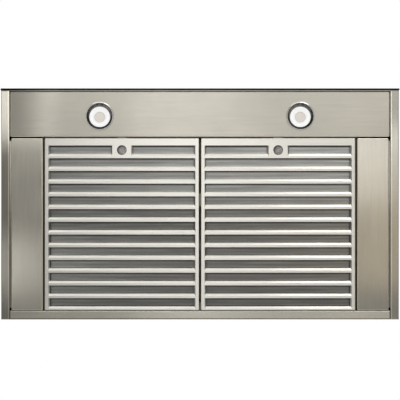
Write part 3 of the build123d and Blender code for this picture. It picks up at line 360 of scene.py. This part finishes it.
def bend_highlight(tree):
    """A panel's bends get a painted highlight, brighter than its flat."""
    return grey_ramp(tree, height_share(tree, face_level, bend_rise), BEND_HIGHLIGHT_RAMP)


# Rear rail: a painted highlight on its rolled bead
bead_highlight_share = 0.56


def bead_highlight(tree):
    """The rear rail's rolled bead is painted lighter, as a painted highlight."""
    place = place_along(tree, "Y")
    return spread(tree, place, bead_highlight_share, panel_plain, bead_front_y, bead_front_y + bead_fade)


# Filter faces: the painted shade on funnel edges, upwards from the face, and a painted gap
# highlight
gap_highlight = 1.45
edge_turned = 0.2
edge_facing_wall = 0.5
FUNNEL_RAMP = ((0.0, 1.0), (0.06, 1.0), (0.2, 0.3), (0.98, 0.2))


def funnel_shade(tree):
    """Funnel edges that face the wall get painted shade. The bends beside the middle gap get a
    painted highlight.
    """
    facing_wall = spread(tree, facing_along(tree, "Y"), 0, 1, edge_turned, edge_facing_wall)
    highlight = spread(tree, distance_aside(tree), gap_highlight, 1, gap_bend_x, gap_flat_x)
    shaded = grey_ramp(tree, height_share(tree, face_level, bend_rise), FUNNEL_RAMP)
    return mix(tree, facing_wall, highlight, shaded)


# Baffles: painted shadow and light across one slot pitch, rearwards from the throat's front edge
drift_scale = 170
drift_contrast = 0.14
DRIFT_STRETCH = (0.05, 1, 1)
BAFFLE_RAMP = (
    (0.0, 0.4),
    (0.08, 0.58),
    (0.15, 0.86),
    (0.24, 0.70),
    (0.36, 0.74),
    (0.5, 0.96),
    (0.9, 0.5),
)


def baffle_shade(tree):
    """Each baffle has a painted shadow under its slot's front edge and painted light further back.
    """
    from_throat = calculate(tree, "SUBTRACT", place_along(tree, "Y"), throat_front_y)
    pitches = calculate(tree, "DIVIDE", from_throat, slot_pitch)
    factor = grey_ramp(tree, calculate(tree, "FRACT", pitches), BAFFLE_RAMP)
    drift = object_noise(tree, drift_scale, DRIFT_STRETCH, detail=2)
    streaks = spread(tree, drift, 1 - drift_contrast, 1 + drift_contrast)
    return calculate(tree, "MULTIPLY", factor, streaks)


# Latch plates, outwards from the light spot in the finger hole
latch_light_offset = 0.0018
latch_reach = 0.02
grit_scale = 260
grit_contrast = 0.35
LATCH_RAMP = ((0.0, 1.0), (0.36, 0.95), (0.52, 0.38), (0.7, 0.15))


def latch_shade(centre):
    """The latch plate shows in the finger hole, with the hole's shadow at its front left."""
    def shade(tree):
        light_spot = (centre[0] + latch_light_offset, centre[1] + latch_light_offset)
        edge = grey_ramp(tree, radius_share(tree, light_spot, latch_reach), LATCH_RAMP)
        grit = object_noise(tree, grit_scale, detail=2)
        specks = spread(tree, grit, 1 - grit_contrast, 1 + grit_contrast)
        return calculate(tree, "MULTIPLY", edge, specks)
    return shade


# Lamp lens: a plain cap, its outline, the frosted ring and the painted shadow at the edge, from the
# middle out
lens_light_offset = 0.0018
lens_reach = 0.0256
lens_glow = 0.40
ripple_scale = 260
ripple_dark = 0.93
ripple_light = 1.04
lens_smooth = 0.30
lens_rough = 0.42
LENS_RAMP = (
    (0.0, (0.66, 0.62, 0.565)),
    (0.44, (0.64, 0.60, 0.55)),
    (0.47, (0.42, 0.41, 0.39)),
    (0.51, (0.86, 0.86, 0.86)),
    (0.90, (0.90, 0.90, 0.90)),
    (0.945, (0.16, 0.155, 0.15)),
    (1.0, (0.10, 0.10, 0.10)),
)


def lamp_lens(name, centre):
    """A frosted lens that glows faintly, with a fine ripple and a painted shadow at its front edge.
    """
    material, tree, shader = new_material(name)
    middle = (centre[0], centre[1] + lens_light_offset)
    ripple = object_noise(tree, ripple_scale, detail=3)
    rings = ramp(tree, radius_share(tree, middle, lens_reach), LENS_RAMP)
    frosting = scaled(tree, rings, spread(tree, ripple, ripple_dark, ripple_light))
    set_inputs(tree, shader, {
        "Base Color": frosting,
        "Roughness": spread(tree, ripple, lens_smooth, lens_rough),
        "Emission Color": frosting,
        "Emission Strength": lens_glow,
    })
    bump(tree, shader, ripple, strength=0.2, distance=0.00005)
    return material


# Lamp trim: painted reflection streaks that are light at the front and dark behind, and the lip
# round them
trim_reach = 0.0326
front_light = 2.4
rear_light = 0.4
front_direction = -1
rear_direction = 0.3
streak_scale = 3.2
streak_dark = 0.35
streak_light = 1.5
trim_grain_scale = 500
trim_smooth = 0.14
trim_rough = 0.24
LIP_RAMP = ((0.90, 0.0), (0.93, 1.0))


def lamp_trim(name, centre):
    """The lamp's pressed ring: a dark funnel with painted reflection streaks at its front, inside a
    bright lip.
    """
    material, tree, shader = new_material(name)
    values = {0: from_axis(tree, centre)}
    direction = node(tree, "VectorMath", {"operation": "NORMALIZE"}, values).outputs["Vector"]
    rearwards = axis_of(tree, direction, "Y")
    fore = spread(tree, rearwards, front_light, rear_light, front_direction, rear_direction)
    values = {"Vector": direction, "Scale": streak_scale, "Detail": 3}
    around = node(tree, "TexNoise", values=values).outputs["Fac"]
    # Painted reflections: streaks round the funnel, lighter at the front
    streaks = calculate(tree, "MULTIPLY", fore, spread(tree, around, streak_dark, streak_light))
    funnel = scaled(tree, funnel_colour, streaks)
    is_lip = grey_ramp(tree, radius_share(tree, centre, trim_reach), LIP_RAMP)
    fine = object_noise(tree, trim_grain_scale, detail=4)
    set_inputs(tree, shader, {
        "Base Color": mix(tree, is_lip, funnel, (*lip_colour, 1), "RGBA"),
        "Metallic": 1,
        "Roughness": spread(tree, fine, trim_smooth, trim_rough),
    })
    bump(tree, shader, fine, strength=0.2, distance=0.00004)
    return material


def lighter(colour, plain):
    """The brighter colour, for painted highlights, of which the plain share is the given colour."""
    return tuple(channel / plain for channel in colour)


def dress(material, *names):
    """Gives CAD nodes one material in every slot."""
    for name in names:
        mesh = nodes[name].data
        for index in range(len(mesh.materials)):
            mesh.materials[index] = material


# Canopy and chimney
steel_x = brushed("steel_grain_x", steel_colour, "X")
steel_z = brushed("steel_grain_z", steel_colour, "Z", roughness=0.28, broad=0.04)
steel_hem = brushed("steel_hem", steel_colour, "X", shade=hem_shade)
dress(steel_x, "canopy_back", "canopy_top")
dress(steel_z, "chimney_lower", "chimney_upper")
dress(steel_hem, "canopy_front")

# Rims: brushed from front to back
rim_colour = lighter(steel_colour, rim_plain)
for side, rear_shade in (("left", rim_left_rear_shade), ("right", rim_right_rear_shade)):
    rim = brushed(
        f"rim_{side}",
        rim_colour,
        "Y",
        roughness=side_roughness,
        anisotropy=side_anisotropy,
        shade=rim_shade(rear_shade),
    )
    dress(rim, f"canopy_{side}")

# Panels and rear rail, with painted highlights on the bends and the bead
panel_colour = lighter(steel_colour, panel_plain)
panel_x = brushed("panel_grain_x", panel_colour, "X", shade=bend_highlight)
rail_x = brushed("rail_grain_x", panel_colour, "X", shade=bead_highlight)
panel_y = brushed(
    "panel_grain_y",
    panel_colour,
    "Y",
    roughness=side_roughness,
    anisotropy=side_anisotropy,
    shade=bend_highlight,
)
dress(panel_x, "light_panel")
dress(rail_x, "rear_rail")
dress(panel_y, "side_panel_left", "side_panel_right")

# Filters
filter_face = brushed(
    "filter_face",
    filter_colour,
    "X",
    roughness=0.30,
    anisotropy=0.8,
    shade=funnel_shade,
)
baffle_grey = brushed(
    "baffle_grey",
    baffle_colour,
    "X",
    smear="Y",
    roughness=0.20,
    fine=0.12,
    broad=0.10,
    shade=baffle_shade,
)
# Zinc darkened as painted shade, for the filter guides seen in the gaps
zinc_in_painted_shade = satin("zinc_in_painted_shade", shaded_zinc_colour, roughness=0.5, contrast=0.10)
spring_steel = satin("spring_steel", spring_colour, roughness=0.3)
for side, turn in (("left", -1), ("right", 1)):
    shade = latch_shade((turn * hole_x, hole_y))
    latch = satin(f"latch_{side}", latch_colour, roughness=0.4, shade=shade)
    dress(filter_face, f"filter_{side}_face")
    dress(baffle_grey, f"filter_{side}_frame", f"filter_{side}_baffles")
    dress(latch, f"filter_{side}_latch")
    dress(zinc_in_painted_shade, f"filter_{side}_guide")
    dress(spring_steel, f"filter_{side}_spring")

# Lamps
reflector = satin("reflector", reflector_colour, roughness=0.2)
plastic_white = satin("plastic_white", white_plastic_colour, roughness=0.45, metallic=0)
for side in ("left", "right"):
    low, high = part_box(f"lamp_{side}_lens")
    centre = ((low[0] + high[0]) / 2, (low[1] + high[1]) / 2)
    dress(lamp_lens(f"lens_{side}", centre), f"lamp_{side}_lens")
    dress(lamp_trim(f"trim_{side}", centre), f"lamp_{side}_trim")
    dress(reflector, f"lamp_{side}_bulb")
    dress(plastic_white, f"lamp_{side}_socket")

# Front glass and its board
glass_black = satin("black_glass", glass_colour, roughness=0.07, metallic=0, specular=0.05)
board_green = satin("board_green", board_colour, roughness=0.4, metallic=0)
dress(glass_black, "fascia_glass")
dress(board_green, "touch_board")

# Small bright metal
bright = satin("bright_steel", bright_colour, roughness=0.14)
dress(bright, "lamp_clips", "fixing_screws", "bracket_screws")
dress(bright, "motor_shaft", "motor_bearings", "impeller_nut", "damper_rod")

# Air box, blower and brackets
zinc = satin("zinc", zinc_colour, roughness=0.42, contrast=0.10)
paint = satin("motor_paint", paint_colour, roughness=0.4, metallic=0)
# The air box's walls take the zinc darkened as painted shade
dress(zinc_in_painted_shade, "plenum_side_walls", "plenum_front_wall")
dress(zinc, "motor_box", "motor_bracket", "impeller", "outlet_transition", "chimney_bracket")
dress(zinc, "scroll_wrap", "scroll_side_left", "scroll_side_right")
dress(paint, "motor_housing")

# Plastic pieces and the capacitor
plastic_black = satin("plastic_black", black_plastic_colour, roughness=0.45, metallic=0)
case_grey = satin("capacitor_case", case_colour, roughness=0.35, metallic=0)
dress(plastic_black, "power_box", "power_box_lid", "cable_gland", "junction_box", "junction_cover")
dress(plastic_black, "duct_collar", "damper_flap_front", "damper_flap_rear")
dress(case_grey, "run_capacitor")

# Stage: one pale floor well below the hood
floor_place = (0, photo_centre_y, floor_level)
bpy.ops.mesh.primitive_plane_add(size=floor_size, location=floor_place)
floor = bpy.context.object
floor.name = "floor"
floor.data.materials.append(satin("floor_pale", floor_colour, roughness=0.7, metallic=0))

# World: white where it is seen or reflected, and softer as light
world = bpy.data.worlds.new("studio")
bpy.context.scene.world = world
world.use_nodes = True
sky = world.node_tree
seen_sky = sky.nodes["Background"]
set_inputs(sky, seen_sky, {"Color": sky_colour, "Strength": 1.0})
soft_sky = node(sky, "Background", values={"Color": sky_colour, "Strength": sky_light})
is_light = node(sky, "LightPath").outputs["Is Diffuse Ray"]
sky_shaders = {0: is_light, 1: seen_sky.outputs[0], 2: soft_sky.outputs[0]}
sky_mix = node(sky, "MixShader", values=sky_shaders)
sky.links.new(sky_mix.outputs[0], sky.nodes["World Output"].inputs["Surface"])


def softbox(name, place, target, width, depth, radiance, colour=white_light):
    """A soft lamp that the camera doesn't see."""
    lamp = bpy.data.lights.new(name, "AREA")
    lamp.shape = "RECTANGLE"
    lamp.size = width
    lamp.size_y = depth
    lamp.energy = watts_per_radiance * width * depth * radiance
    lamp.color = colour
    direction = Vector(target) - Vector(place)
    holder = bpy.data.objects.new(name, lamp)
    holder.location = place
    holder.rotation_euler = direction.to_track_quat("-Z", "Y").to_euler()
    holder.visible_camera = False
    bpy.context.collection.objects.link(holder)


# Softboxes under the hood that shine straight up: low x, high x, low y, high y and radiance
GROUND_LAMPS = (
    ("front_wide", -0.80, 1.10, -1.80, -0.95, 1.2),
    ("front_middle", -0.36, 0.26, -1.80, -0.65, 0.9),
    ("front_peak", -0.34, 0.04, -1.50, -0.68, 3.0),
    ("left_strip", -0.76, -0.66, -1.20, -0.55, 2.3),
    ("front_left", -0.60, -0.32, -0.95, -0.56, 0.9),
    ("far_left", -2.00, -1.05, -0.95, -0.58, 1.9),
    ("middle", -0.32, 0.80, -0.65, -0.27, 1.05),
    ("middle_right", 0.04, 0.50, -0.68, -0.38, 1.4),
    ("right_front", 0.60, 1.80, -0.62, -0.45, 0.9),
    ("right_rear", 0.60, 1.80, -0.50, 0.14, 0.45),
    ("far_right", 0.85, 1.25, -0.95, -0.70, 0.7),
    ("left_rear", -1.50, -0.95, -0.10, 0.15, 1.7),
    ("rear", -0.10, 0.90, 0.34, 0.95, 0.45),
)
for name, low_x, high_x, low_y, high_y, radiance in GROUND_LAMPS:
    middle_x = (low_x + high_x) / 2
    middle_y = (low_y + high_y) / 2
    place = (middle_x, middle_y, lamp_level)
    target = (middle_x, middle_y, 0)
    colour = warm_light if name == warm_lamp else white_light
    softbox(name, place, target, high_x - low_x, high_y - low_y, radiance, colour)

# Softboxes that stand in front of the hood: place, target, width, depth and radiance
SIDE_LAMPS = (
    ("front_low", (0, -2.6, -0.7), (0, -0.3, 0.1), 3.0, 0.9, 1.2),
    ("front_right", (1.05, -2.6, -0.55), (0.4, -0.3, 0), 1.4, 0.8, 2.0),
)
for name, place, target, width, depth, radiance in SIDE_LAMPS:
    softbox(name, place, target, width, depth, radiance)

# Camera: straight below the hood, looking up
camera = bpy.data.cameras.new("photo_camera")
camera.lens = camera_lens
camera.sensor_width = camera_sensor
camera_holder = bpy.data.objects.new("photo_camera", camera)
camera_holder.location = (0, photo_centre_y, -camera_distance)
camera_holder.rotation_euler = (pi, 0, 0)
bpy.context.collection.objects.link(camera_holder)
bpy.context.scene.camera = camera_holder
bpy.context.scene.view_settings.view_transform = "Standard"
